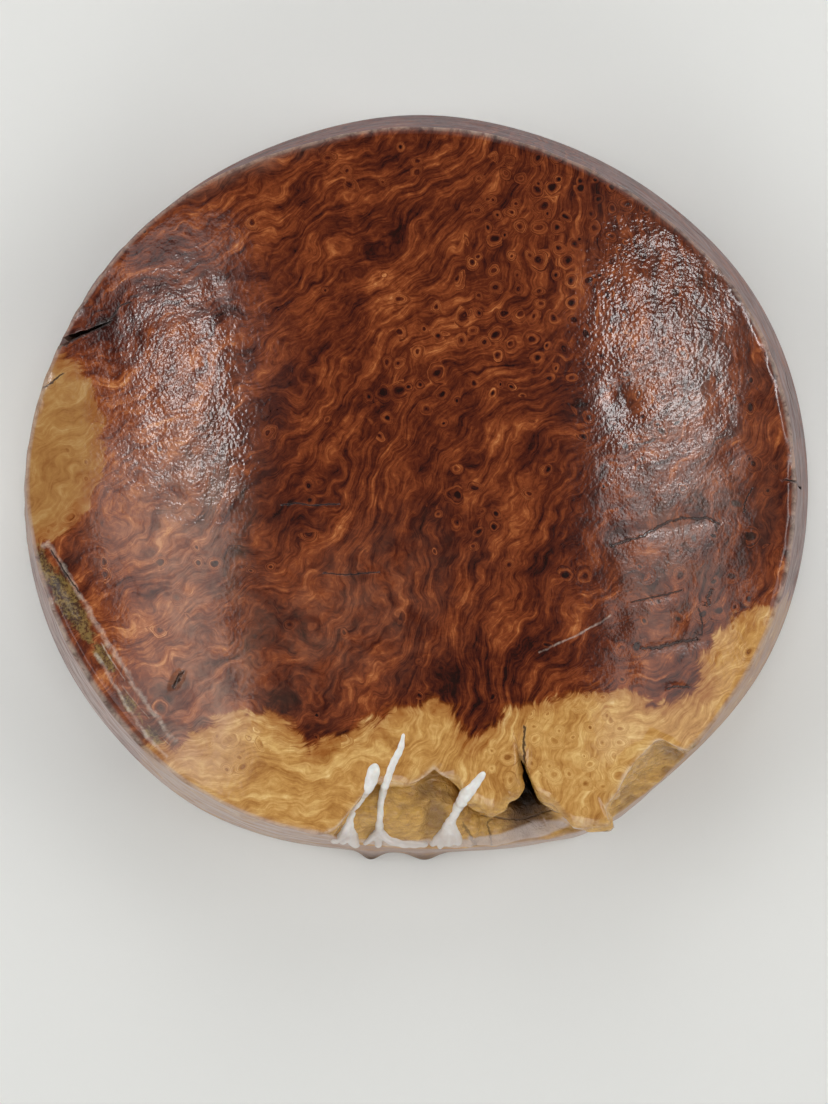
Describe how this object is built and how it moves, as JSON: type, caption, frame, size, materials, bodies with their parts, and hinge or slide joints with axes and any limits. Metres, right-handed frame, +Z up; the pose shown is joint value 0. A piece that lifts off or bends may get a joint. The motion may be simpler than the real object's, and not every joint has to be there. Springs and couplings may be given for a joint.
{
  "type": "mallee burl bowl blank",
  "caption": "Round sawn slab of burl wood with tapered sides, a flat face and foot, one natural edge with lobes and a bark pocket, and hardened runs of sealing wax.",
  "frame": {"origin": "middle of the box of the blank, at the bottom of its sawn foot", "axes": "+Z up through the sawn face, -Y towards the natural edge, +X to the right of the picture"},
  "size_m": [0.2534, 0.241, 0.0658],
  "materials": {
    "waxed_burl": "red-brown burl heartwood with tan sapwood, under a thin glossy film of sealing wax",
    "sealing_wax": "milky white hardened wax"
  },
  "bodies": {
    "root": {"burl_blank": "waxed_burl", "wax_run_left": "sealing_wax", "wax_run_middle": "sealing_wax", "wax_run_right": "sealing_wax"}
  },
  "joints": []
}
